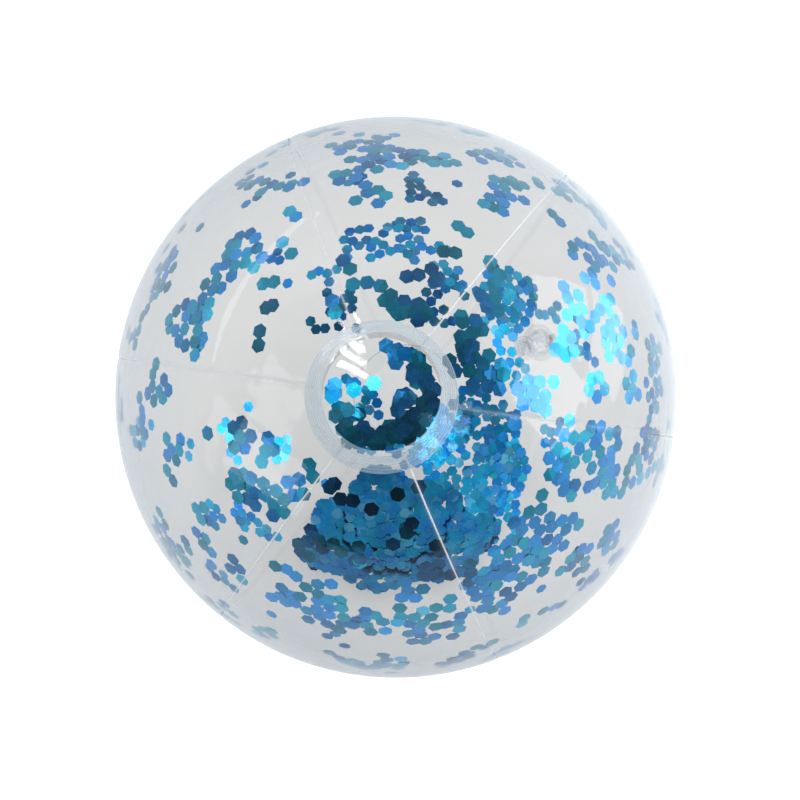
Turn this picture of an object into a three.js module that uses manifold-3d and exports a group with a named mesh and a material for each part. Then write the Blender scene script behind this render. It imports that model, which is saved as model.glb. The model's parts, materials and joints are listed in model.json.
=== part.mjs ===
// Inflatable beach ball of clear film with loose hexagonal confetti inside.
// Millimetres, +Z up, origin at the ball's centre. The ball lies on the ground as it does in play:
// its polar axis leans towards -Y, and the loose confetti has slid to the lowest point of the wall.
//
// Six gores of film are welded edge to edge, and a round cap is welded over their ends at each pole.
// The rear half carries the inflation valve. Inside, some flakes cling to the wall and the rest lie
// in a bed with a smaller heap on it.
import * as THREE from "three";
import { mergeVertices } from "three/addons/utils/BufferGeometryUtils.js";
import Module from "manifold-3d";

const wasm = await Module();
wasm.setup();

// ---- Driving dimensions, in millimetres and degrees ----------------------------------------------

// The ball
const ballRadius = 140; // outside of the inflated film
const filmThickness = 0.3;
const fitGap = 0.3; // left between pieces that are welded or rest together
const goreCount = 6;
const weldDepth = 1.5; // how far a seam's welded edge stands into the ball
const weldThickness = 0.4; // of one gore's share of that edge
const footDepth = 0.9; // how much the film flattens where the ball rests on the ground

// How the ball lies
const poleLean = 36.8; // polar axis from +Z towards -Y
const poleYaw = -2.5; // and from there towards -X
const seamTurn = -8.1; // first seam, about the polar axis

// The polar caps
const capRadius = 31.7;
const capWeldWidth = 7.3; // ring where the cap overlaps the gores
const weldLineCount = 5;
const weldLineHeight = 0.25;

// The valve, measured from the outside of the film along its own axis
const valveGore = 0; // gores are counted from the first seam
const valvePolar = 142; // angle from the front pole
const flangeRadius = 11;
const flangeThickness = 0.7;
const collarHeight = 2.6;
const collarWall = 0.9;
const stemRadius = 5.8;
const stemTravel = 12; // from pushed in to pulled out
const stopHeight = 1.2;
const stopOverhang = 1.4;
const lipHeight = 1;
const lipOverhang = 1.6;
const slideClearance = 0.5; // round the stem, in its collar
const boreRadius = 3.5;
const plugClearance = 0.3; // round the plug, in the bore
const plugLength = 4;
const plugTaper = 1;
const plugHeadThickness = 1.2;
const plugHeadRadius = 5.6;
const strapWidth = 4;
const strapThickness = 0.6;
const hingeRadius = 0.7; // of the strap's rolled root
const strapReach = 1.6; // from the stem's lip to the strap's hinge
const flapThickness = 0.4;
const flapOverlap = 1.1; // of the flap over the bore's edge
const flapTab = 1.2; // from the flap's edge to its hinge

// The confetti
const flakeWidth = 6; // across flats
const flakeThickness = 0.2;
const flakesPerGore = 6;
const flakeFirst = 28; // polar angle of a gore's first flake
const flakeStep = 19;
const flakeStray = 15; // how far, in degrees of azimuth, flakes lie off a gore's middle
const bedSpread = [27, 19]; // half-angles of the bed along X and Y, seen from the centre
const bedDepth = 2.2;
const heapSpread = [15, 11];
const heapDepth = 3;
const rimDepth = 0.8; // of either layer at its edge

// How finely curved faces are divided
const latSteps = 20;
const lonSteps = 8;
const roundSteps = 32;
const capSteps = 40;
const layerRings = 5;
const layerSteps = 28;

const rad = THREE.MathUtils.degToRad;
const goreAngle = 360 / goreCount;

// ---- Derived sizes --------------------------------------------------------------------------------

const filmInside = ballRadius - filmThickness;
const holeRadius = capRadius - capWeldWidth; // open end of the gores, under a cap
const holePolar = Math.asin(holeRadius / ballRadius);
const latStep = (Math.PI - 2 * holePolar) / latSteps;
const lonStep = rad(goreAngle) / lonSteps;
// A flat facet's middle lies this far inside the true sphere.
const facetDip = ballRadius * (1 - Math.cos(latStep / 2) * Math.cos(lonStep / 2));

// Heights in the valve's frame, whose zero is the outside of the film.
const flangeSag = flangeRadius ** 2 / (2 * ballRadius);
const flangeTop = -(filmThickness + flangeSag + facetDip + fitGap);
const collarBottom = flangeTop - flangeThickness - collarHeight;
const lipBottom = fitGap;
const lipTop = lipBottom + lipHeight;
const stopTop = collarBottom - fitGap - stemTravel;
const stemBottom = stopTop - stopHeight;
const lipRadius = stemRadius + lipOverhang;
const guideRadius = stemRadius + slideClearance;
const hingeReach = lipRadius + strapReach;
const hingeHeight = lipTop + fitGap + hingeRadius;
const flapRadius = boreRadius + flapOverlap;
const flapHinge = flapRadius + flapTab;

// Radii of the confetti, kept clear of the wall's facets, of the welds and of each other.
const flakeRadius = filmInside - facetDip - fitGap - flakeThickness / 2;
const bedRadius = Math.min(ballRadius - weldDepth - facetDip, flakeRadius - flakeThickness) - fitGap;
const heapRadius = bedRadius - bedDepth - fitGap;

// ---- Materials ------------------------------------------------------------------------------------

const clearFilm = new THREE.MeshStandardMaterial({
  color: 0xd5dcde,
  roughness: 0.08,
  metalness: 0,
  transparent: true,
  opacity: 0.25,
});
const weldedFilm = new THREE.MeshStandardMaterial({
  color: 0xc3d6e2,
  roughness: 0.25,
  metalness: 0,
  transparent: true,
  opacity: 0.4,
});
const valveVinyl = new THREE.MeshStandardMaterial({
  color: 0xd8e2e6,
  roughness: 0.3,
  metalness: 0,
  transparent: true,
  opacity: 0.6,
});
const blueFoil = new THREE.MeshStandardMaterial({ color: 0x1a6f9c, roughness: 0.25, metalness: 0.9 });

// ---- Solids ---------------------------------------------------------------------------------------

// A three.js geometry as a manifold solid, for a boolean cut or join.
function solidOf(geometry) {
  const bare = new THREE.BufferGeometry();
  bare.setAttribute("position", geometry.getAttribute("position"));
  bare.setIndex(geometry.index);
  const merged = mergeVertices(bare.index ? bare.toNonIndexed() : bare, 1e-4);
  return new wasm.Manifold(
    new wasm.Mesh({
      numProp: 3,
      vertProperties: merged.attributes.position.array,
      triVerts: new Uint32Array(merged.index.array),
    }),
  );
}

// A manifold solid as a three.js geometry.
function geometryOf(solid) {
  const mesh = solid.getMesh();
  const geometry = new THREE.BufferGeometry();
  geometry.setAttribute("position", new THREE.BufferAttribute(mesh.vertProperties, 3));
  geometry.setIndex(new THREE.BufferAttribute(mesh.triVerts, 1));
  return geometry;
}

// A profile of [radius, height] pairs turned about Z. It starts and ends on the axis, or closes on itself.
function turned(profile, steps = roundSteps) {
  const points = profile.map(([radius, height]) => new THREE.Vector2(radius, height));
  return new THREE.LatheGeometry(points, steps).rotateX(Math.PI / 2);
}

// A disc or post along Z between two heights.
function post(radius, bottom, top, steps = roundSteps) {
  return turned([[0, bottom], [radius, bottom], [radius, top], [0, top]], steps);
}

// A closed skin over rings of points, which all have the same count and run the same way round.
// The first and last rings are filled as polygons, from their shared outline in 2-D.
function lofted(rings, outline) {
  const count = rings[0].length;
  const positions = rings.flat().flatMap((point) => [point.x, point.y, point.z]);
  const faces = [];
  for (let ring = 0; ring < rings.length - 1; ring++) {
    for (let i = 0; i < count; i++) {
      const [a, b] = [ring * count + i, ring * count + ((i + 1) % count)];
      faces.push(a, b + count, b, a, a + count, b + count);
    }
  }
  const last = (rings.length - 1) * count;
  for (const corners of THREE.ShapeUtils.triangulateShape(outline, [])) {
    // In the outline's own order every triangle faces the same way.
    const [a, b, c] = corners.toSorted((one, other) => one - other);
    faces.push(a, b, c, last + c, last + b, last + a);
  }
  const geometry = new THREE.BufferGeometry();
  geometry.setAttribute("position", new THREE.Float32BufferAttribute(positions, 3));
  return geometry.setIndex(faces);
}

// A point from its radius, its angle from the pole and its azimuth, both in radians.
function onBall(radius, polar, azimuth) {
  return new THREE.Vector3(
    radius * Math.sin(polar) * Math.cos(azimuth),
    radius * Math.sin(polar) * Math.sin(azimuth),
    radius * Math.cos(polar),
  );
}

// ---- Frames ---------------------------------------------------------------------------------------

// The ball's own frame: +Z through the front pole, azimuth 0 at the first seam.
const ballTurn = new THREE.Euler(rad(poleLean), rad(poleYaw), rad(seamTurn));

function ballFrame() {
  const frame = new THREE.Group();
  frame.rotation.copy(ballTurn);
  return frame;
}

// The valve's frame: +Z out of the ball along its axis, +X along the gore towards the equator.
function valveFrame() {
  const frame = new THREE.Group();
  const azimuth = rad((valveGore + 0.5) * goreAngle);
  const out = onBall(1, rad(valvePolar), azimuth);
  const along = onBall(1, rad(valvePolar) - Math.PI / 2, azimuth);
  const across = new THREE.Vector3().crossVectors(out, along);
  frame.quaternion.setFromRotationMatrix(new THREE.Matrix4().makeBasis(along, across, out));
  frame.position.copy(out).multiplyScalar(ballRadius);
  return frame;
}

// ---- The shell ------------------------------------------------------------------------------------

// One gore's section at a polar angle: a thin arc of film with a welded edge turned in at each side.
// Each point is [azimuth, radius].
function goreSection(polar, insideRadius, edgeRadius) {
  const reach = ballRadius * Math.sin(polar);
  const side = fitGap / 2 / reach;
  const edge = (fitGap / 2 + weldThickness) / reach;
  const wide = rad(goreAngle);
  const outer = [[side, ballRadius], [edge, ballRadius]];
  const inner = [[edge, insideRadius]];
  for (let i = 1; i < lonSteps; i++) {
    outer.push([i * lonStep, ballRadius]);
    inner.push([i * lonStep, insideRadius]);
  }
  outer.push([wide - edge, ballRadius], [wide - side, ballRadius]);
  inner.push([wide - edge, insideRadius]);
  const left = [[side, edgeRadius], [edge, edgeRadius]];
  const right = [[wide - edge, edgeRadius], [wide - side, edgeRadius]];
  return [...outer, right[1], right[0], ...inner.reverse(), left[1], left[0]];
}

// A gore from its first seam to the next, as film or, with a deeper inside, as a thick block.
function goreBlock(insideRadius, edgeRadius) {
  const rings = [];
  for (let i = 0; i <= latSteps; i++) {
    const polar = holePolar + i * latStep;
    const section = goreSection(polar, insideRadius, edgeRadius);
    rings.push(section.map(([azimuth, radius]) => onBall(radius, polar, azimuth)));
  }
  const outline = goreSection(holePolar, insideRadius, edgeRadius).map(
    ([azimuth, radius]) => new THREE.Vector2(radius * Math.cos(azimuth), radius * Math.sin(azimuth)),
  );
  return lofted(rings, outline);
}

// Where the ball rests, the film of the lowest gore lies flat on the ground.
function flattened(film, turnOfGore) {
  const down = new THREE.Vector3(0, 0, -1);
  const toGore = new THREE.Quaternion().setFromEuler(ballTurn).invert();
  down.applyQuaternion(toGore).applyAxisAngle(new THREE.Vector3(0, 0, 1), -turnOfGore);
  const facing = new THREE.Quaternion().setFromUnitVectors(new THREE.Vector3(0, 0, 1), down);
  const level = ballRadius - footDepth;
  const footRadius = 2 * Math.sqrt(ballRadius ** 2 - level ** 2);
  const pad = post(footRadius, level - filmThickness, level).applyQuaternion(facing);
  const ground = post(footRadius, level, ballRadius + footDepth).applyQuaternion(facing);
  const blockDepth = 4 * footDepth;
  const block = goreBlock(ballRadius - blockDepth, ballRadius - blockDepth);
  const foot = solidOf(pad).intersect(solidOf(block));
  return film.add(foot).subtract(solidOf(ground));
}

// One gore, in the ball's frame. One has the valve's hole, and the lowest the flat foot.
function goreGeometry(index) {
  const turn = rad(index * goreAngle);
  let film = solidOf(goreBlock(filmInside, ballRadius - weldDepth));
  if (index === valveGore) {
    const valve = valveFrame();
    const drill = post(guideRadius, collarBottom, lipTop);
    drill.applyQuaternion(valve.quaternion).translate(...valve.position).rotateZ(-turn);
    film = film.subtract(solidOf(drill));
  }
  if (index === lowestGore()) film = flattened(film, turn);
  return geometryOf(film).rotateZ(turn);
}

// The number of the gore that the ball lies on.
function lowestGore() {
  const down = new THREE.Vector3(0, 0, -1);
  down.applyQuaternion(new THREE.Quaternion().setFromEuler(ballTurn).invert());
  const azimuth = THREE.MathUtils.euclideanModulo(Math.atan2(down.y, down.x), 2 * Math.PI);
  return Math.floor(azimuth / rad(goreAngle));
}

// A polar cap: a thin dome over the gores' open ends, with raised weld lines round its edge.
function capGeometry() {
  const inside = ballRadius + fitGap;
  const outside = inside + filmThickness;
  const at = (radius, height) => {
    const polar = Math.asin(radius / ballRadius);
    return [height * Math.sin(polar), height * Math.cos(polar)];
  };
  const window = [0.35, 0.7, 1].map((share) => share * holeRadius);
  const profile = [[0, inside], ...window.map((radius) => at(radius, inside))];
  profile.push(at((holeRadius + capRadius) / 2, inside), at(capRadius, inside));
  const pitch = capWeldWidth / weldLineCount;
  for (let line = 0; line < weldLineCount; line++) {
    const radius = capRadius - line * pitch;
    profile.push(at(radius, outside), at(radius - pitch / 2, outside + weldLineHeight));
  }
  profile.push(...window.reverse().map((radius) => at(radius, outside)), [0, outside]);
  return turned(profile, capSteps);
}

// ---- The valve ------------------------------------------------------------------------------------

// The ring welded under the film, with a short collar that guides the stem.
function flangeGeometry() {
  return turned([
    [guideRadius, collarBottom],
    [guideRadius + collarWall, collarBottom],
    [guideRadius + collarWall, flangeTop - flangeThickness],
    [flangeRadius, flangeTop - flangeThickness],
    [flangeRadius, flangeTop],
    [guideRadius, flangeTop],
    [guideRadius, collarBottom],
  ]);
}

// The tube that is pulled out to blow the ball up and pushed in to play, with an ear for the strap.
function stemGeometry() {
  const tube = turned([
    [boreRadius, stemBottom],
    [stemRadius + stopOverhang, stemBottom],
    [stemRadius + stopOverhang, stopTop],
    [stemRadius, stopTop],
    [stemRadius, lipBottom],
    [lipRadius, lipBottom],
    [lipRadius, lipTop],
    [boreRadius, lipTop],
    [boreRadius, stemBottom],
  ]);
  const earStart = stemRadius;
  const earEnd = hingeReach + hingeRadius;
  const ear = new THREE.BoxGeometry(earEnd - earStart, strapWidth, lipHeight);
  ear.translate((earStart + earEnd) / 2, 0, (lipBottom + lipTop) / 2);
  return geometryOf(solidOf(tube).add(solidOf(ear)));
}

// The tapered plug with its strap, whose rolled root is the hinge.
function plugGeometry() {
  const headBottom = lipTop + fitGap;
  const headTop = headBottom + plugHeadThickness;
  const stubRadius = boreRadius - plugClearance;
  const plug = turned([
    [0, lipTop - plugLength],
    [stubRadius - plugTaper, lipTop - plugLength],
    [stubRadius, lipTop],
    [stubRadius, headBottom],
    [plugHeadRadius, headBottom],
    [plugHeadRadius, headTop],
    [0, headTop],
  ]);
  const strap = new THREE.BoxGeometry(hingeReach - plugHeadRadius / 2, strapWidth, strapThickness);
  strap.translate((hingeReach + plugHeadRadius / 2) / 2, 0, hingeHeight);
  const root = new THREE.CylinderGeometry(hingeRadius, hingeRadius, strapWidth, 16);
  root.translate(hingeReach, 0, hingeHeight);
  return geometryOf(solidOf(plug).add(solidOf(strap)).add(solidOf(root)));
}

// The one-way flap under the stem, hinged at the end of its tab.
function flapGeometry() {
  const top = stemBottom - fitGap;
  const disc = post(flapRadius, top - flapThickness, top);
  const tab = new THREE.BoxGeometry(flapHinge, flapRadius, flapThickness);
  tab.translate(flapHinge / 2, 0, top - flapThickness / 2);
  return geometryOf(solidOf(disc).add(solidOf(tab)));
}

// ---- The confetti ---------------------------------------------------------------------------------

// A flake clinging to the wall: a thin hexagon, tangent to the ball and turned on its own axis.
function flakeMesh(polar, azimuth, spin) {
  const corner = flakeWidth / Math.sqrt(3);
  const hexagon = new THREE.CylinderGeometry(corner, corner, flakeThickness, 6).rotateX(Math.PI / 2);
  const mesh = new THREE.Mesh(hexagon, blueFoil);
  const out = onBall(1, polar, azimuth);
  mesh.quaternion.setFromUnitVectors(new THREE.Vector3(0, 0, 1), out);
  mesh.rotateZ(spin);
  mesh.position.copy(out).multiplyScalar(flakeRadius);
  return mesh;
}

// A lens of loose flakes round the lowest point of the wall, deepest in the middle.
function layerGeometry(outerRadius, spread, depth) {
  const at = (share, turn, radius) => {
    const x = Math.tan(rad(spread[0]) * share * Math.cos(turn));
    const y = Math.tan(rad(spread[1]) * share * Math.sin(turn));
    return new THREE.Vector3(x, y, -1).setLength(radius);
  };
  const depthAt = (share) => rimDepth + (depth - rimDepth) * (1 - share ** 2);
  const shares = Array.from({ length: layerRings }, (_, ring) => (ring + 1) / layerRings);
  const surfaces = [
    ...shares.map((share) => [share, outerRadius]),
    ...shares.toReversed().map((share) => [share, outerRadius - depthAt(share)]),
  ];
  const points = [at(0, 0, outerRadius)];
  for (const [share, radius] of surfaces) {
    for (let i = 0; i < layerSteps; i++) points.push(at(share, (i * 2 * Math.PI) / layerSteps, radius));
  }
  points.push(at(0, 0, outerRadius - depth));
  const faces = [];
  const last = points.length - 1;
  for (let i = 0; i < layerSteps; i++) {
    const next = (i + 1) % layerSteps;
    faces.push(0, 1 + next, 1 + i);
    for (let ring = 0; ring < surfaces.length - 1; ring++) {
      const [a, b] = [1 + ring * layerSteps + i, 1 + ring * layerSteps + next];
      faces.push(a, b, b + layerSteps, a, b + layerSteps, a + layerSteps);
    }
    faces.push(last, last - layerSteps + i, last - layerSteps + next);
  }
  const geometry = new THREE.BufferGeometry();
  geometry.setAttribute("position", new THREE.Float32BufferAttribute(points.flatMap((p) => p.toArray()), 3));
  return geometry.setIndex(faces);
}

// ---- The assembly ---------------------------------------------------------------------------------

function named(name, geometry, material) {
  const mesh = new THREE.Mesh(geometry, material);
  mesh.name = name;
  return mesh;
}

function buildShell() {
  const shell = ballFrame();
  for (let index = 0; index < goreCount; index++) {
    shell.add(named(`gore_${index + 1}`, goreGeometry(index), clearFilm));
  }
  shell.add(named("cap_front", capGeometry(), weldedFilm));
  shell.add(named("cap_rear", capGeometry().rotateX(Math.PI), weldedFilm));
  return shell;
}

function buildValve() {
  const ball = ballFrame();
  const valve = valveFrame();
  valve.add(named("valve_flange", flangeGeometry(), valveVinyl));
  valve.add(named("valve_stem", stemGeometry(), valveVinyl));
  valve.add(named("valve_plug", plugGeometry(), valveVinyl));
  valve.add(named("valve_flap", flapGeometry(), valveVinyl));
  return ball.add(valve);
}

// The clinging flakes zigzag down each gore, clear of its welds.
function buildFlakes() {
  const flakes = ballFrame();
  for (let gore = 0; gore < goreCount; gore++) {
    for (let i = 0; i < flakesPerGore; i++) {
      const polar = rad(flakeFirst + flakeStep * i + 2 * gore);
      const stray = flakeStray * Math.sin(2.4 * (i + 1) + gore);
      const flake = flakeMesh(polar, rad((gore + 0.5) * goreAngle + stray), i + 0.7 * gore);
      flake.name = `flake_${String(gore * flakesPerGore + i + 1).padStart(2, "0")}`;
      flakes.add(flake);
    }
  }
  return flakes;
}

function buildBeachBall() {
  const ball = new THREE.Group();
  ball.add(buildShell(), buildValve(), buildFlakes());
  ball.add(named("confetti_bed", layerGeometry(bedRadius, bedSpread, bedDepth), blueFoil));
  ball.add(named("confetti_heap", layerGeometry(heapRadius, heapSpread, heapDepth), blueFoil));
  return ball;
}

export default buildBeachBall();
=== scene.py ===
"""Clear inflatable beach ball with loose blue foil confetti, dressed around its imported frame.

The frame gives the bodies, joints and boxes. Every mesh here is made in code, in metres, in the
row frame.
"""

from __future__ import annotations

import json
import logging
import math
from collections.abc import Sequence
from dataclasses import dataclass, field
from enum import Enum
from typing import Union

import bpy
import numpy as np
from mathutils import Matrix, Vector


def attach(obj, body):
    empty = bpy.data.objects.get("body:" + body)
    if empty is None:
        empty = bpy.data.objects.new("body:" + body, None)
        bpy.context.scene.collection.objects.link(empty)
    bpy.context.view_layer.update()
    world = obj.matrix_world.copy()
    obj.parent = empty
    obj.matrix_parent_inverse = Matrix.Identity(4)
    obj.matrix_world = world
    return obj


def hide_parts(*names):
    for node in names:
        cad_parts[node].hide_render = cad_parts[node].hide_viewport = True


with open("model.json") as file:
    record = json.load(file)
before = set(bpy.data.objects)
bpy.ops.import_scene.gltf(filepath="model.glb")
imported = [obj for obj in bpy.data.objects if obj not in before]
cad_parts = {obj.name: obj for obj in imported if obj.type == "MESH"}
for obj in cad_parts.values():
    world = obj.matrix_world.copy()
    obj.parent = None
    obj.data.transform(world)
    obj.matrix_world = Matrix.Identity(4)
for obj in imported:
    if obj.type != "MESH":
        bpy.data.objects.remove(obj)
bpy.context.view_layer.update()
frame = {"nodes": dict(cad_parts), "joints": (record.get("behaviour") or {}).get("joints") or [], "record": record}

log = logging.getLogger("beach_ball")

MM = 0.001
FLAKE = 6 * MM


# ---- Shader graphs ----------------------------------------------------------------------------


class Signal:
    """One output socket of a shader graph, on which Python arithmetic adds Math nodes."""

    def __init__(self, graph: Graph, socket: bpy.types.NodeSocket) -> None:
        """Wraps an output socket of a graph."""
        self.graph = graph
        self.socket = socket

    def _math(self, operation: str, first: Value, second: Value) -> Signal:
        """The result of one Math node on two values or links."""
        return self.graph.node("ShaderNodeMath", {"operation": operation}, {0: first, 1: second})

    def __add__(self, other: Value) -> Signal:
        """The sum of two values."""
        return self._math("ADD", self, other)

    def __radd__(self, other: Value) -> Signal:
        """The sum with a plain number on the left."""
        return self._math("ADD", other, self)

    def __sub__(self, other: Value) -> Signal:
        """The difference of two values."""
        return self._math("SUBTRACT", self, other)

    def __rsub__(self, other: Value) -> Signal:
        """The difference from a plain number on the left."""
        return self._math("SUBTRACT", other, self)

    def __mul__(self, other: Value) -> Signal:
        """The product of two values."""
        return self._math("MULTIPLY", self, other)

    def __rmul__(self, other: Value) -> Signal:
        """The product with a plain number on the left."""
        return self._math("MULTIPLY", other, self)

    def __pow__(self, other: Value) -> Signal:
        """This value raised to a power."""
        return self._math("POWER", self, other)

    def at_most(self, limit: float) -> Signal:
        """This value, held at or below a limit."""
        return self._math("MINIMUM", self, limit)

    def step(self, low: float, high: float) -> Signal:
        """A smooth rise from 0 at low to 1 at high."""
        values = {"Value": self, "From Min": low, "From Max": high}
        return self.graph.node("ShaderNodeMapRange", {"interpolation_type": "SMOOTHSTEP"}, values)


Value = Union[Signal, float, Sequence[float]]


class Graph:
    """A node tree under construction."""

    def __init__(self, owner: bpy.types.Material | bpy.types.World) -> None:
        """Starts with an empty tree.

        Args:
            owner: The material or world whose tree is built.
        """
        owner.use_nodes = True
        self.owner = owner
        self.tree = owner.node_tree
        self.tree.nodes.clear()

    def made(
        self, kind: str, settings: dict[str, object] | None, inputs: dict[str | int, Value] | None
    ) -> bpy.types.Node:
        """Adds a node of any type.

        Args:
            kind: The node's type.
            settings: Properties of the node, which are set first.
            inputs: Values or links, by socket name or number.

        Returns:
            The new node.
        """
        made = self.tree.nodes.new(kind)
        for key, value in (settings or {}).items():
            setattr(made, key, value)
        for key, value in (inputs or {}).items():
            if isinstance(value, Signal):
                self.tree.links.new(value.socket, made.inputs[key])
            else:
                made.inputs[key].default_value = value
        return made

    def node(
        self,
        kind: str,
        settings: dict[str, object] | None = None,
        inputs: dict[str | int, Value] | None = None,
        output: str | int = 0,
    ) -> Signal:
        """Adds a node and hands back one of its outputs, by name or number."""
        return Signal(self, self.made(kind, settings, inputs).outputs[output])

    def place(self) -> Signal:
        """The point on the piece, in metres."""
        return self.node("ShaderNodeTexCoord", output="Object")

    def noise(self, at: Signal, scale: float, detail: float = 2.0, roughness: float = 0.5) -> Signal:
        """Cloudy noise round 0.5, with scale waves to a metre and detail octaves."""
        settings = {"Vector": at, "Scale": scale, "Detail": detail, "Roughness": roughness}
        return self.node("ShaderNodeTexNoise", {}, settings, "Fac")

    def stretched(self, at: Signal, scale: Sequence[float], turn: Sequence[float]) -> Signal:
        """A place, turned about X, Y and Z in radians and scaled along them."""
        return self.node("ShaderNodeMapping", {}, {"Vector": at, "Scale": scale, "Rotation": turn})

    def facing(self) -> Signal:
        """0 where the surface faces the viewer and 1 where it is seen edge on."""
        return self.node("ShaderNodeLayerWeight", {}, {"Blend": 0.5}, "Facing")

    def stored(self, name: str) -> Signal:
        """A number that the mesh carries under a name."""
        return self.node("ShaderNodeAttribute", {"attribute_name": name}, {}, "Fac")

    def blend(self, share: Value, first: Value, second: Value) -> Signal:
        """A mix of two colours, where share is how much there is of the second."""
        return self.node("ShaderNodeMix", {"data_type": "RGBA"}, {0: share, 6: first, 7: second}, 2)

    def bump(self, height: Signal, distance: float, strength: float) -> Signal:
        """A normal that is tipped by a height, where a height of 1 stands for distance metres."""
        values = {"Height": height, "Distance": distance, "Strength": strength}
        return self.node("ShaderNodeBump", {}, values)

    def mixed(self, share: Value, first: Signal, second: Signal) -> Signal:
        """A mix of two shaders, where share is how much there is of the second."""
        return self.node("ShaderNodeMixShader", {}, {0: share, 1: first, 2: second})

    def principled(self, inputs: dict[str | int, Value]) -> Signal:
        """A Principled shader with these inputs."""
        return self.node("ShaderNodeBsdfPrincipled", {}, inputs)

    def finish(self, surface: Signal) -> None:
        """Joins the shader that shows to the output."""
        owner = "World" if isinstance(self.owner, bpy.types.World) else "Material"
        self.made(f"ShaderNodeOutput{owner}", {}, {"Surface": surface})


def rgba(colour: Sequence[float]) -> tuple[float, float, float, float]:
    """A colour with full alpha."""
    return (colour[0], colour[1], colour[2], 1.0)


Colour = tuple[float, float, float]
WHITE: Colour = (1.0, 1.0, 1.0)


# ---- Finishes ---------------------------------------------------------------------------------


@dataclass(frozen=True)
class FilmFinish:
    """Clear glossy vinyl film with a little haze, a few rub marks and slow ripples.

    The veil is the haze that thickens where the film is seen edge on, and the mirror its gloss.
    """

    name: str
    tint: Colour = (0.755, 0.757, 0.755)
    haze_colour: Colour = (0.45, 0.51, 0.56)
    cloud_colour: Colour = (0.8, 0.85, 0.88)
    haze: float = 0.001
    most_haze: float = 0.9
    veil: float = 0.9
    veil_power: float = 3.0
    weld_haze: float = 0.12
    mirror: float = 0.016
    most_mirror: float = 0.85
    edge_mirror: float = 0.09
    edge_power: float = 4.0

    def paint(self, graph: Graph) -> None:
        """Builds the film's shader.

        Args:
            graph: The material's empty graph.
        """
        place = graph.place()
        cloud = graph.noise(place, 11.0, 3.0)
        rubs = graph.noise(place, 55.0, 4.0, 0.62).step(0.56, 0.76)
        hair = graph.stretched(place, (60.0, 2600.0, 60.0), (0.5, 0.2, 0.9))
        scratches = graph.noise(hair, 1.0, 2.0).step(0.7, 0.78)
        weld = graph.stored("weld")
        facing = graph.facing()
        haze = self.haze + 0.005 * cloud + 0.006 * rubs
        haze = haze + 0.012 * scratches + self.weld_haze * weld
        veil = self.veil * facing ** self.veil_power
        ripples = graph.noise(place, 26.0, 2.0) + 0.06 * graph.noise(place, 420.0, 2.0)
        normal = graph.bump(ripples, 1.2 * MM, 0.3)
        clear = graph.node("ShaderNodeBsdfTransparent", {}, {"Color": rgba(self.tint)})
        cloudy = graph.principled({
            "Base Color": graph.blend(0.3 * cloud, rgba(self.haze_colour), rgba(self.cloud_colour)),
            "Roughness": 0.42 + 0.2 * rubs,
            "Normal": normal,
        })
        glossy = graph.principled({
            "Base Color": rgba(WHITE),
            "Metallic": 1.0,
            "Roughness": 0.03 + 0.08 * rubs + 0.12 * weld,
            "Normal": normal,
        })
        shine = self.mirror + self.edge_mirror * facing ** self.edge_power
        body = graph.mixed((haze + veil).at_most(self.most_haze), clear, cloudy)
        graph.finish(graph.mixed(shine.at_most(self.most_mirror), body, glossy))


@dataclass(frozen=True)
class VinylFinish:
    """Translucent moulded vinyl of the valve, with flow marks and a soft sheen."""

    name: str
    clear: Colour = (0.975, 0.98, 0.985)
    colour: Colour = (0.86, 0.92, 0.95)
    flow_colour: Colour = (0.9, 0.93, 0.94)
    body: float = 0.1
    edge_body: float = 0.4

    def paint(self, graph: Graph) -> None:
        """Builds the moulded vinyl's shader.

        Args:
            graph: The material's empty graph.
        """
        place = graph.place()
        flow = graph.noise(graph.stretched(place, (1.0, 1.0, 4.0), (0.6, 0.0, 0.3)), 90.0, 3.0)
        grain = graph.noise(place, 1500.0, 2.0)
        facing = graph.facing()
        clear = graph.node("ShaderNodeBsdfTransparent", {}, {"Color": rgba(self.clear)})
        solid = graph.principled({
            "Base Color": graph.blend(flow, rgba(self.colour), rgba(self.flow_colour)),
            "Roughness": 0.22 + 0.16 * flow,
            "Normal": graph.bump(0.7 * flow + 0.3 * grain, 0.2 * MM, 0.4),
            "Coat Weight": 0.4,
            "Coat Roughness": 0.12,
        })
        share = self.body + 0.08 * flow + self.edge_body * facing ** 2.0
        graph.finish(graph.mixed(share.at_most(0.95), clear, solid))


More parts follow.
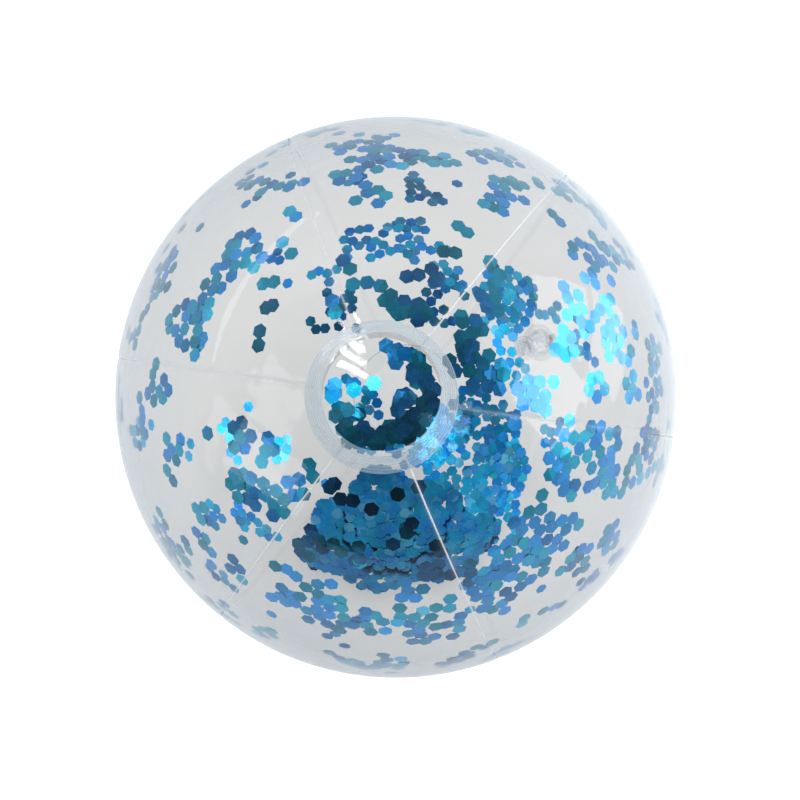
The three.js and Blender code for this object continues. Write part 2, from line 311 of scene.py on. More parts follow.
@dataclass(frozen=True)
class FoilFinish:
    """Metallised foil in two blues. The outer side is a little darker and greyer, partly two-tone foil and partly
    painted shade; a few inner sides are painted pale as glints, and a stored darkening adds random darkness and
    painted shade.
    """

    name: str
    # Outer-side blues: a little darker and greyer than the inner-side ones, partly two-tone foil and partly
    # painted shade for the near wall's flakes, which mirror the dim room.
    shaded_teal: Colour = (0.02, 0.44, 0.66)
    shaded_navy: Colour = (0.03, 0.33, 0.82)
    cyan: Colour = (0.008, 0.5, 0.86)
    blue: Colour = (0.008, 0.34, 0.94)
    # Painted glint: the pale colour that a few flakes' inner sides take, standing in for flakes that catch the
    # light.
    pale: Colour = (0.25, 0.78, 0.98)
    # Near-black that the stored darkening blends towards: random darkness, and painted shade.
    shadow: Colour = (0.0, 0.02, 0.06)

    def paint(self, graph: Graph) -> None:
        """Builds the foil's shader.

        Args:
            graph: The material's empty graph.
        """
        place = graph.place()
        tint = graph.stored("tint")
        inward = graph.stored("inward")
        shade = graph.noise(place, 700.0, 3.0, 0.6)
        patch = graph.noise(place, 75.0, 2.0)
        mottled = (tint + 0.5 * (shade - 0.5) + 1.2 * (patch - 0.5)).step(0.34, 0.68)
        # The outer side's colour: partly two-tone foil, partly painted shade.
        deep = graph.blend(mottled, rgba(self.shaded_teal), rgba(self.shaded_navy))
        bright = graph.blend(mottled, rgba(self.cyan), rgba(self.blue))
        # Painted glint: a few random flakes turn pale on their inner side.
        pale = graph.stored("pale") * inward
        colour = graph.blend(pale * 0.6, graph.blend(inward, deep, bright), rgba(self.pale))
        # Darkening: random darkness, and painted shade from each flake's stored shade.
        tone = 0.5 * graph.stored("tone") * (0.4 + 1.2 * graph.noise(place, 60.0, 3.0))
        dimples = graph.noise(place, 1900.0, 2.0)
        graph.finish(graph.principled({
            "Base Color": graph.blend(tone, colour, rgba(self.shadow)),
            "Metallic": 0.92,
            "Roughness": 0.2 + 0.2 * shade,
            "Normal": graph.bump(dimples, 0.06 * MM, 0.3),
            "Coat Weight": 0.12,
            "Coat Roughness": 0.08,
        }))


@dataclass(frozen=True)
class FloorFinish:
    """A plain white floor, lit a little from within so that it stays pale under the ball."""

    name: str
    pale: Colour = (0.42, 0.42, 0.42)
    dull: Colour = (0.38, 0.38, 0.38)
    glow: float = 0.72

    def paint(self, graph: Graph) -> None:
        """Builds the floor's shader.

        Args:
            graph: The material's empty graph.
        """
        grain = graph.noise(graph.place(), 40.0, 3.0)
        graph.finish(graph.principled({
            "Base Color": graph.blend(grain, rgba(self.dull), rgba(self.pale)),
            "Roughness": 0.85 + 0.1 * grain,
            "Emission Color": rgba(WHITE),
            "Emission Strength": self.glow,
        }))


class Finish(Enum):
    """The finishes that the pieces wear."""

    FILM = FilmFinish("clear_film")
    # The front cap's ring haze is tinted bluer than the film's: painted light, standing in for blue light from the
    # flakes behind scattering in the ring.
    CAP = FilmFinish("front_cap_film", haze_colour=(0.5, 0.68, 0.8), weld_haze=0.42)
    REAR_CAP = FilmFinish("rear_cap_film")
    # The seams' whitish haze is partly weld haze and partly painted highlight, standing in for light that the weld
    # bead refracts.
    WELD = FilmFinish(
        "weld_film",
        tint=(0.86, 0.862, 0.865),
        haze_colour=(0.78, 0.81, 0.83),
        haze=0.01,
        veil=0.2,
        weld_haze=0.6,
        mirror=0.01,
        edge_mirror=0.02,
    )
    VINYL = VinylFinish("valve_vinyl")
    FOIL = FoilFinish("foil_flakes")
    FLOOR = FloorFinish("studio_floor")


_worn: dict[Finish, bpy.types.Material] = {}


def material(finish: Finish) -> bpy.types.Material:
    """The material of a finish, built once.

    Args:
        finish: The finish.

    Returns:
        Its material.
    """
    if finish not in _worn:
        _worn[finish] = bpy.data.materials.new(finish.value.name)
        finish.value.paint(Graph(_worn[finish]))
    return _worn[finish]


# ---- Meshes -----------------------------------------------------------------------------------


@dataclass
class Skin:
    """Points and faces of one piece, with the numbers that its faces or points carry."""

    points: np.ndarray
    faces: np.ndarray
    point_numbers: dict[str, np.ndarray] = field(default_factory=dict)
    face_numbers: dict[str, np.ndarray] = field(default_factory=dict)

    def placed(self, turn: Matrix) -> Skin:
        """This skin, carried by a matrix.

        Args:
            turn: The 4x4 matrix.

        Returns:
            The moved skin.
        """
        carry = np.array(turn)
        moved = self.points @ carry[:3, :3].T + carry[:3, 3]
        return Skin(moved, self.faces, self.point_numbers, self.face_numbers)

    def built(self, name: str, finish: Finish, smooth: bool = True) -> bpy.types.Object:
        """Makes the object.

        Args:
            name: The piece's name.
            finish: What it wears.
            smooth: Whether its faces are shaded smooth.

        Returns:
            The new object, linked to the scene.
        """
        mesh = bpy.data.meshes.new(name)
        mesh.from_pydata(self.points.tolist(), [], self.faces.tolist())
        for label, numbers in self.point_numbers.items():
            mesh.attributes.new(label, "FLOAT", "POINT").data.foreach_set("value", numbers.ravel())
        for label, numbers in self.face_numbers.items():
            mesh.attributes.new(label, "FLOAT", "FACE").data.foreach_set("value", numbers.ravel())
        mesh.polygons.foreach_set("use_smooth", [smooth] * len(mesh.polygons))
        mesh.materials.append(material(finish))
        mesh.update()
        piece = bpy.data.objects.new(name, mesh)
        bpy.context.scene.collection.objects.link(piece)
        return piece


def grid_faces(rows: int, columns: int, around: bool = False, first: int = 0) -> np.ndarray:
    """Quads between rows of points.

    Args:
        rows: How many rows of points.
        columns: How many points in each.
        around: Whether each row closes on itself.
        first: The number of the first point.

    Returns:
        Faces, four corners each.
    """
    spans = columns if around else columns - 1
    row, column = np.meshgrid(np.arange(rows - 1), np.arange(spans), indexing="ij")
    after = (column + 1) % columns
    corners = [row * columns + column, (row + 1) * columns + column]
    corners += [(row + 1) * columns + after, row * columns + after]
    return first + np.stack([corner.ravel() for corner in corners], axis=1)


def turned(profile: Sequence[tuple[float, float]], segments: int = 72) -> Skin:
    """A closed profile turned about Z.

    Args:
        profile: Radius and height, in metres, going round the section once.
        segments: Steps round the axis.

    Returns:
        The ring's skin.
    """
    radius, height = np.array(profile).T
    turn = np.arange(segments) * 2.0 * np.pi / segments
    x = radius[:, None] * np.cos(turn)
    y = radius[:, None] * np.sin(turn)
    z = np.broadcast_to(height[:, None], x.shape)
    points = np.stack([x, y, z], axis=-1)
    faces = grid_faces(len(profile) + 1, segments, around=True)
    return Skin(points.reshape(-1, 3), faces % (len(profile) * segments))


def rounded(corners: Sequence[tuple[float, float, float]], arcs: int = 4) -> list[tuple[float, float]]:
    """A closed section with rounded corners.

    Args:
        corners: Radius, height and fillet of each corner, in metres.
        arcs: Steps in each fillet.

    Returns:
        The section's points.
    """
    section: list[tuple[float, float]] = []
    for index, (r, z, fillet) in enumerate(corners):
        here = Vector((r, z))
        before = Vector(corners[index - 1][:2]) - here
        after = Vector(corners[(index + 1) % len(corners)][:2]) - here
        reach = min(fillet, before.length * 0.48, after.length * 0.48)
        start, end = here + before.normalized() * reach, here + after.normalized() * reach
        if fillet == 0.0:
            section.append((r, z))
            continue
        for step in range(arcs + 1):
            t = step / arcs
            point = start * (1 - t) ** 2 + here * 2 * t * (1 - t) + end * t ** 2
            section.append((point.x, point.y))
    return section


def joined(*skins: Skin) -> Skin:
    """Several skins as one.

    Args:
        skins: Skins that carry the same numbers, with four corners to each face.

    Returns:
        The joined skin.
    """
    starts = np.cumsum([0] + [len(skin.points) for skin in skins[:-1]])
    return Skin(
        np.concatenate([skin.points for skin in skins]),
        np.concatenate([skin.faces + start for skin, start in zip(skins, starts)]),
    )


# ---- How the ball lies ------------------------------------------------------------------------


@dataclass(frozen=True)
class Ball:
    """The ball's size and the way that it lies on the ground."""

    radius: float = 140 * MM
    gores: int = 6
    lean: float = math.radians(36.8)
    yaw: float = math.radians(-2.5)
    seam_turn: float = math.radians(-8.1)

    @property
    def lying(self) -> Matrix:
        """Turns the upright ball, seen from its front pole, to the way it lies."""
        return Matrix.Rotation(self.lean, 4, "X") @ Matrix.Rotation(self.yaw, 4, "Y")

    @property
    def seamed(self) -> Matrix:
        """The same, with azimuth 0 at the first seam."""
        return self.lying @ Matrix.Rotation(self.seam_turn, 4, "Z")

    @property
    def floor(self) -> float:
        """The height of the ground that the ball's foot rests on."""
        mounts = {mount["name"]: mount for mount in frame["record"]["mounts"]}
        return mounts["floor_contact"]["pos_m"][2]


def on_ball(radius: np.ndarray | float, polar: np.ndarray, azimuth: np.ndarray) -> np.ndarray:
    """Points at angles from the pole.

    Args:
        radius: Distance from the centre.
        polar: Angle from the pole.
        azimuth: Angle about the pole.

    Returns:
        The points, in the last axis.
    """
    x = radius * np.sin(polar) * np.cos(azimuth)
    y = radius * np.sin(polar) * np.sin(azimuth)
    return np.stack(np.broadcast_arrays(x, y, radius * np.cos(polar)), axis=-1)


# ---- The shell --------------------------------------------------------------------------------


@dataclass
class Shell:
    """The welded film: six gores, their seams and a cap at each pole."""

    ball: Ball
    hole: float = 24.4 * MM
    rear_hole: float = 31.2 * MM
    cap: float = 31.7 * MM
    weld_lines: int = 8
    weld_height: float = 0.05 * MM
    window_shift: float = 2.2 * MM
    cap_lift: float = 0.45 * MM
    cap_segments: int = 160
    cap_rim: float = 0.12 * MM
    film_inset: float = 0.05 * MM
    least_inset: float = 0.02 * MM
    foot_gap: float = 0.03 * MM
    tuck: float = 0.2 * MM
    tuck_reach: float = 2.2 * MM
    pucker: float = 0.12 * MM
    pucker_pitch: float = 10 * MM
    pucker_reach: float = 8 * MM
    seam_depth: float = 0.9 * MM
    seam_width: float = 0.75 * MM
    # How white each seam is drawn, fading back from the front pole: partly weld haze and partly painted highlight,
    # standing in for light that the bead refracts, so it differs seam by seam.
    frost_and_highlight: tuple[float, ...] = (0.15, 0.8, 0.4, 0.12, 1.2, 1.2)
    whiteness_fade: float = math.radians(80)
    rows: int = 220
    columns: int = 44

    def build(self) -> None:
        """Builds and places every film piece."""
        for index in range(self.ball.gores):
            self.gore(index)
            self.seam(index)
        self.end_cap("end_cap_front", "cap_front", Matrix.Identity(4), Finish.CAP)
        self.end_cap("end_cap_rear", "cap_rear", Matrix.Rotation(math.pi, 4, "X"), Finish.REAR_CAP)

    def polar_rows(self) -> np.ndarray:
        """The polar angle of each row of a gore, from its front end to its rear one."""
        front = math.asin(self.hole / self.ball.radius)
        rear = math.asin(self.rear_hole / self.ball.radius)
        return np.linspace(front, math.pi - rear, self.rows)

    def puckers(self, polar: np.ndarray, seam: int) -> np.ndarray:
        """Small waves that a seam draws along the film beside it.

        Args:
            polar: The polar angle.
            seam: The seam's number.

        Returns:
            The waves' height, from -1 to 1.
        """
        along = polar * self.ball.radius / self.pucker_pitch * 2 * np.pi
        slow = np.sin(along * 0.23 + 1.7 * seam)
        return np.sin(along + 2.1 * seam + 1.4 * slow) * (0.6 + 0.4 * np.sin(along * 0.37 + seam))

    def gore(self, index: int) -> None:
        """Builds one gore's film.

        Args:
            index: The gore's number, from 0.
        """
        radius = self.ball.radius
        wide = 2 * math.pi / self.ball.gores
        polar = self.polar_rows()[:, None]
        spaced = (0.5 - 0.5 * np.cos(np.linspace(0, math.pi, self.columns)))[None, :]
        reach = wide * radius * np.sin(polar)
        bead = self.seam_width / 2 / reach
        across = bead + (1 - 2 * bead) * spaced
        left, right = spaced * reach, (1 - spaced) * reach
        depth = np.full(left.shape, self.film_inset)
        for edge, seam in ((left, index), (right, (index + 1) % self.ball.gores)):
            depth = depth + self.tuck * np.exp(-edge / self.tuck_reach)
            waves = self.puckers(polar, seam) * (1 - np.exp(-edge / MM))
            depth = depth + self.pucker * waves * np.exp(-edge / self.pucker_reach)
        depth = np.maximum(depth, self.least_inset)
        azimuth = (index + across) * wide
        points = on_ball(radius - depth, polar, azimuth).reshape(-1, 3)
        weld = np.exp(-np.minimum(left, right) / (0.7 * MM))
        hole = self.valve_hole(points)
        faces = grid_faces(self.rows, self.columns)
        faces = faces[~hole[faces].all(axis=1)]
        skin = Skin(points, faces, {"weld": weld}).placed(self.ball.seamed)
        foot = self.ball.floor + self.foot_gap
        skin.points[:, 2] = np.maximum(skin.points[:, 2], foot)
        piece = skin.built(f"gore_film_{index + 1}", Finish.FILM)
        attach(piece, "ball")
        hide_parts(f"gore_{index + 1}")
        log.info("gore film %d: %d faces", index + 1, len(faces))

    def valve_hole(self, points: np.ndarray) -> np.ndarray:
        """Which points of the upright, seamed ball fall in the valve's hole."""
        valve = Valve(self.ball)
        centre = self.ball.seamed.inverted() @ (valve.out * self.ball.radius)
        return np.linalg.norm(points - np.array(centre), axis=1) < valve.guide

    def seam(self, index: int) -> None:
        """Builds the welded edge that stands into the ball along one seam.

        Args:
            index: The seam's number, from 0.
        """
        radius = self.ball.radius
        polar = self.polar_rows()
        section = [(-0.5, 0.55), (-0.36, 1.0), (0.36, 1.0), (0.5, 0.55), (0.4, 0.3), (-0.4, 0.3)]
        rows = []
        for aside, depth in section:
            aside = aside * self.seam_width / (radius * np.sin(polar))
            azimuth = index * 2 * math.pi / self.ball.gores + aside
            rows.append(on_ball(radius - depth * self.seam_depth, polar, azimuth))
        points = np.stack(rows, axis=1)
        count = len(section)
        # The seam's whiteness fades away from the front pole: partly weld haze, partly painted highlight.
        along = np.minimum((polar - polar[0]) / self.whiteness_fade, 1.0)
        frost_and_highlight = np.repeat(self.frost_and_highlight[index] * (0.5 + 0.5 * np.cos(along * math.pi)), count)
        faces = grid_faces(self.rows, count, around=True)
        last = (self.rows - 1) * count
        ends = np.array([[3, 2, 1, 0], [5, 4, 3, 0]])
        faces = np.concatenate([faces, ends, last + ends[:, ::-1]])
        skin = Skin(points.reshape(-1, 3), faces, {"weld": frost_and_highlight})
        piece = skin.placed(self.ball.seamed).built(f"seam_weld_{index + 1}", Finish.WELD)
        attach(piece, "ball")

    def end_cap(self, name: str, node: str, flip: Matrix, finish: Finish) -> None:
        """Builds a cap: a clear window in a welded ring of fine raised lines.

        Args:
            name: The piece's name.
            node: The CAD node that it stands for.
            flip: Turns the front cap to this one.
            finish: What it wears.
        """
        window = np.linspace(0.04, 1.0, 14) * self.hole
        per_line = 8
        ring = np.linspace(self.hole, self.cap, self.weld_lines * per_line + 1)[1:]
        reach = np.concatenate([window, ring, [self.cap + self.cap_rim]])
        share = np.clip((reach - self.hole) / (self.cap - self.hole), 0, 1)
        ridge = 0.5 - 0.5 * np.cos(2 * np.pi * self.weld_lines * share)
        lift = self.cap_lift + self.weld_height * ridge
        lift[-1] = 0.0
        segments = self.cap_segments
        turn = np.arange(segments) * 2 * np.pi / segments
        shift = self.window_shift * (1 - share) * np.minimum(reach / self.hole, 1.0)
        x = reach[:, None] * np.cos(turn)
        y = reach[:, None] * np.sin(turn) + shift[:, None]
        out = np.arctan2(y, x)
        polar = np.arcsin(np.hypot(x, y) / self.ball.radius)
        rings = on_ball(self.ball.radius + lift[:, None], polar, out).reshape(-1, 3)
        middle = np.array([[0.0, 0.0, self.ball.radius + self.cap_lift]])
        faces = grid_faces(len(reach), segments, around=True)
        next_one = (np.arange(segments) + 1) % segments
        centre = np.full(segments, len(rings))
        fan = np.stack([centre, np.arange(segments), next_one], axis=1)
        every = faces.tolist() + fan.tolist()
        drift = np.sin(3 * turn[None, :] + 9 * share[:, None])
        uneven = 0.5 + 0.5 * drift * np.sin(5 * turn + 2)[None, :]
        weld = np.where(share[:, None] > 0, 0.62 + 0.38 * ridge[:, None] * uneven, 0.0)
        weld = np.append(weld.ravel(), 0.0)
        skin = Skin(np.concatenate([rings, middle]), np.array(every, dtype=object), {"weld": weld})
        piece = skin.placed(self.ball.lying @ flip).built(name, finish)
        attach(piece, "ball")
        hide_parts(node)
        log.info("%s: %d faces", name, len(every))


# ---- The valve --------------------------------------------------------------------------------


@dataclass
class Valve:
    """The pull-out mouthpiece with its welded flange, plug on a strap and one-way flap."""

    ball: Ball
    bore: float = 3.5 * MM
    guide: float = 6.3 * MM
    stop: float = 7.2 * MM
    rim: float = 11.0 * MM
    tube_end: float = -18.4 * MM
    lip_top: float = 1.28 * MM
    head: float = 1.62 * MM
    middle: float = 0.02 * MM

    def __post_init__(self) -> None:
        """Reads the valve's place from the frame's joints."""
        joints = {joint["name"]: joint for joint in frame["joints"]}
        self.out = Vector(joints["mouthpiece_slide"]["axis"]).normalized()
        self.across = Vector(joints["plug_hinge"]["axis"]).normalized()
        along = self.across.cross(self.out)
        place = Matrix((along, self.across, self.out)).transposed().to_4x4()
        place.translation = self.out * self.ball.radius
        self.place = place

    def local(self, joint: str) -> Vector:
        """A joint's point in the valve's own frame: X along the strap, Z out of the ball."""
        joints = {one["name"]: one for one in frame["joints"]}
        return self.place.inverted() @ Vector(joints[joint]["pos_m"])

    def build(self) -> None:
        """Builds and places every valve piece."""
        self.add("flange_ring", self.flange(), "ball", "valve_flange")
        self.add("mouthpiece_tube", self.mouthpiece(), "mouthpiece", "valve_stem")
        self.add("plug_and_strap", self.plug(), "plug", "valve_plug")
        self.add("one_way_flap", self.flap(), "flap", "valve_flap")

    def add(self, name: str, skin: Skin, body: str, node: str) -> None:
        """Places one piece of the valve.

        Args:
            name: The piece's name.
            skin: Its skin, in the valve's frame.
            body: The body it rides on.
            node: The CAD node it stands for.
        """
        piece = skin.placed(self.place).built(name, Finish.VINYL)
        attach(piece, body)
        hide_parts(node)
        log.info("%s: %d faces", name, len(skin.faces))

    def flange(self) -> Skin:
        """The ring welded under the film, and the collar that guides the mouthpiece."""
        return turned(rounded([
            (self.guide, -4.97 * MM, 0.2 * MM),
            (self.stop, -4.97 * MM, 0.3 * MM),
            (7.4 * MM, -2.5 * MM, 0.6 * MM),
            (self.rim, -2.38 * MM, 0.2 * MM),
            (self.rim, -2.0 * MM, 0.2 * MM),
            (self.guide, -1.68 * MM, 0.2 * MM),
        ]))

    def mouthpiece(self) -> Skin:
        """The tube, with a lip outside, a stop ring inside and the ear of the strap's hinge."""
        tube = turned(rounded([
            (self.bore, self.tube_end, 0.2 * MM),
            (self.stop, self.tube_end, 0.35 * MM),
            (self.stop, -17.3 * MM, 0.35 * MM),
            (5.8 * MM, -17.1 * MM, 0.3 * MM),
            (5.7 * MM, 0.3 * MM, 0.2 * MM),
            (7.4 * MM, 0.35 * MM, 0.35 * MM),
            (7.3 * MM, self.lip_top, 0.4 * MM),
            (self.bore, self.lip_top, 0.3 * MM),
        ]))
        hinge = self.local("plug_hinge")
        ear = slab(6.6 * MM, hinge.x + 0.7 * MM, 4.0 * MM, 0.36 * MM, 1.24 * MM, 0.3 * MM)
        return joined(tube, ear)

    def plug(self) -> Skin:
        """The tapered plug with a crowned head, a grip rim and its strap, rolled at the root."""
        hinge = self.local("plug_hinge")
        head = self.head
        cork = turned(rounded([
            (self.middle, -2.7 * MM, 0.0),
            (2.1 * MM, -2.7 * MM, 0.5 * MM),
            (3.2 * MM, 0.6 * MM, 0.3 * MM),
            (3.1 * MM, head, 0.2 * MM),
            (5.5 * MM, head, 0.3 * MM),
            (5.6 * MM, head + 1.1 * MM, 0.4 * MM),
            (4.6 * MM, head + 1.15 * MM, 0.3 * MM),
            (4.2 * MM, head + 0.7 * MM, 0.3 * MM),
            (self.middle, head + 0.95 * MM, 0.0),
        ]))
        low, high = hinge.z - 0.3 * MM, hinge.z + 0.3 * MM
        strap = slab(5.0 * MM, hinge.x, 3.6 * MM, low, high, 0.2 * MM)
        root = rolled(hinge, 0.68 * MM, 3.9 * MM)
        return joined(cork, strap, root)

    def flap(self) -> Skin:
        """The thin flap that air pushes open from outside and shuts from inside."""
        hinge = self.local("flap_hinge")
        disc = turned(rounded([
            (self.middle, hinge.z - 0.36 * MM, 0.0),
            (4.5 * MM, hinge.z - 0.36 * MM, 0.1 * MM),
            (4.6 * MM, hinge.z - 0.02 * MM, 0.1 * MM),
            (self.middle, hinge.z - 0.02 * MM, 0.0),
        ]))
        low, high = hinge.z - 0.34 * MM, hinge.z - 0.04 * MM
        tab = slab(3.0 * MM, hinge.x, 4.2 * MM, low, high, 0.1 * MM)
        return joined(disc, tab)


def slab(start: float, end: float, width: float, low: float, high: float, round_off: float) -> Skin:
    """A flat bar along X with eased edges.

    Args:
        start: Its first end.
        end: Its last end.
        width: Its width along Y.
        low: Its underside.
        high: Its top.
        round_off: How far its edges are eased.

    Returns:
        The bar's skin.
    """
    half, middle, thick = width / 2, (low + high) / 2, (high - low) / 2
    outline = []
    sides, bend = 16, 0.35
    for step in range(sides):
        turn = 2 * math.pi * (step + 0.5) / sides
        y = math.copysign(abs(math.cos(turn)) ** bend, math.cos(turn)) * half
        z = math.copysign(abs(math.sin(turn)) ** bend, math.sin(turn)) * thick
        outline.append((y, z))
    rows = []
    eased = min(round_off, thick)
    rings = [(start, 0.0), (start, eased), (start + eased, 0.0)]
    rings += [(end - eased, 0.0), (end, eased), (end, 0.0)]
    for x, shrink in rings:
        closing = x in (start, end) and shrink == 0.0
        for y, z in outline:
            scale_y = 0.02 if closing else 1 - shrink / half
            scale_z = 0.02 if closing else 1 - shrink / thick * 0.8
            rows.append((x, y * scale_y, middle + z * scale_z))
    faces = grid_faces(len(rings), sides, around=True)[:, ::-1]
    ends = np.array([[i, i + 1, sides - i - 2, sides - i - 1] for i in range(sides // 2 - 1)])
    last = (len(rings) - 1) * sides
    return Skin(np.array(rows), np.concatenate([faces, ends, last + ends[:, ::-1]]))


def rolled(centre: Vector, radius: float, width: float) -> Skin:
    """A small round bar along Y.

    Args:
        centre: Its middle.
        radius: Its radius.
        width: Its length.

    Returns:
        The bar's skin.
    """
    half, middle, flat = width / 2, 0.02 * MM, radius * 0.8
    profile = [(middle, -half), (flat, -half), (radius, -half * 0.9)]
    profile += [(radius, half * 0.9), (flat, half), (middle, half)]
    bar = turned(profile, 24)
    return bar.placed(Matrix.Translation(centre) @ Matrix.Rotation(math.pi / 2, 4, "X"))


# ---- The confetti -----------------------------------------------------------------------------


class Wall(Enum):
    """Which half of the ball a drift clings to, by the angle that it is measured from."""

    NEAR = 0
    FAR = 1


@dataclass(frozen=True)
class Drift:
    """A straggling group of flakes on the inside of the film.

    Angles are in degrees: off is the angle from the pole of its wall, turn the direction about the front
    pole from +X, and long, wide and slant shape its patch. Dark is how much painted shade its foil gets,
    standing in for the dim room that flakes on the near wall mirror; below 0 its bright side faces out instead.
    """

    wall: Wall
    off: float
    turn: float
    count: int
    long: float
    wide: float
    slant: float = 0.0
    dark: float = 0.0


@dataclass(frozen=True)
class Flake:
    """One flake: its middle, its lean off the wall in radians and how far its rim is bent.

    Flipped turns its darker side inwards, and dark is the least painted shade that its foil gets.
    """

    place: np.ndarray
    tilt: float
    curl: float
    flipped: bool
    dark: float


@dataclass
class Flakes:
    """Flakes gathered for one piece."""

    corner: float = FLAKE / math.sqrt(3)
    thick: float = 0.09 * MM
    each: list[Flake] = field(default_factory=list)

    def skin(self, rng: np.random.Generator, contrast: float) -> Skin:
        """All the flakes as one skin of thin, slightly curled hexagons.

        Args:
            rng: The source of spins and tints.
            contrast: How much the flakes differ at random in tint and darkness.

        Returns:
            The skin, whose faces carry tint, pale (a painted glint), the darkening (random, and painted shade) and
            inward.
        """
        count = len(self.each)
        corner = self.corner
        turn = np.arange(6) * math.pi / 3
        ring = np.stack([np.cos(turn) * corner, np.sin(turn) * corner], axis=1)
        flat = np.concatenate([ring, [[0.0, 0.0]]])
        centres = np.array([one.place for one in self.each])
        up = centres / np.linalg.norm(centres, axis=1, keepdims=True)
        aside = np.cross(up, np.array([0.31, -0.52, 0.79]))
        aside /= np.linalg.norm(aside, axis=1, keepdims=True)
        spin = rng.uniform(0, 2 * math.pi, count)[:, None]
        first = np.cos(spin) * aside + np.sin(spin) * np.cross(up, aside)
        lean = np.array([one.tilt for one in self.each])[:, None]
        normal = np.cos(lean) * up + np.sin(lean) * np.cross(up, first)
        second = np.cross(normal, first)
        swing = rng.uniform(0, math.pi, count)
        along = flat[:, 0] * np.cos(swing)[:, None] + flat[:, 1] * np.sin(swing)[:, None]
        bend = np.array([one.curl for one in self.each])[:, None] * (1 - (along / corner) ** 2)
        points = []
        for side in (0.5, -0.5):
            height = bend + side * self.thick
            points.append(
                centres[:, None, :]
                + flat[None, :, 0, None] * first[:, None, :]
                + flat[None, :, 1, None] * second[:, None, :]
                + height[:, :, None] * normal[:, None, :]
            )
        points = np.concatenate(points, axis=1).reshape(-1, 3)
        middle, under = 6, len(flat)
        hexagon = []
        for i in range(middle):
            after = (i + 1) % middle
            hexagon += [(i, after, middle), (after + under, i + under, middle + under)]
            hexagon += [(after, i, i + under), (after, i + under, after + under)]
        starts = 2 * under * np.arange(count)[:, None, None]
        faces = (np.array(hexagon)[None] + starts).reshape(-1, 3)
        looks_out = np.tile([1.0, 0.0, 1.0, 1.0], middle)
        flip = np.array([one.flipped for one in self.each], dtype=float)[:, None]
        inward = np.abs(1 - looks_out[None, :] - flip)
        tint = np.repeat(0.5 + (rng.uniform(0, 1, count) - 0.5) * contrast, len(hexagon))
        # Painted glint: few flakes get a high share of the pale colour.
        pale = np.repeat(rng.uniform(0, 1, count) ** 5, len(hexagon))
        # Painted shade: each flake's least darkening, from its drift, the front pole or the loose pile; the rest
        # is random darkness.
        least_painted_shade = [one.dark for one in self.each]
        tone = np.maximum(rng.uniform(0, 1, count) ** 1.5 * contrast, least_painted_shade)
        tone = np.repeat(tone, len(hexagon))
        numbers = {"tint": tint, "pale": pale, "tone": tone, "inward": inward.ravel()}
        return Skin(points, faces, {}, numbers)


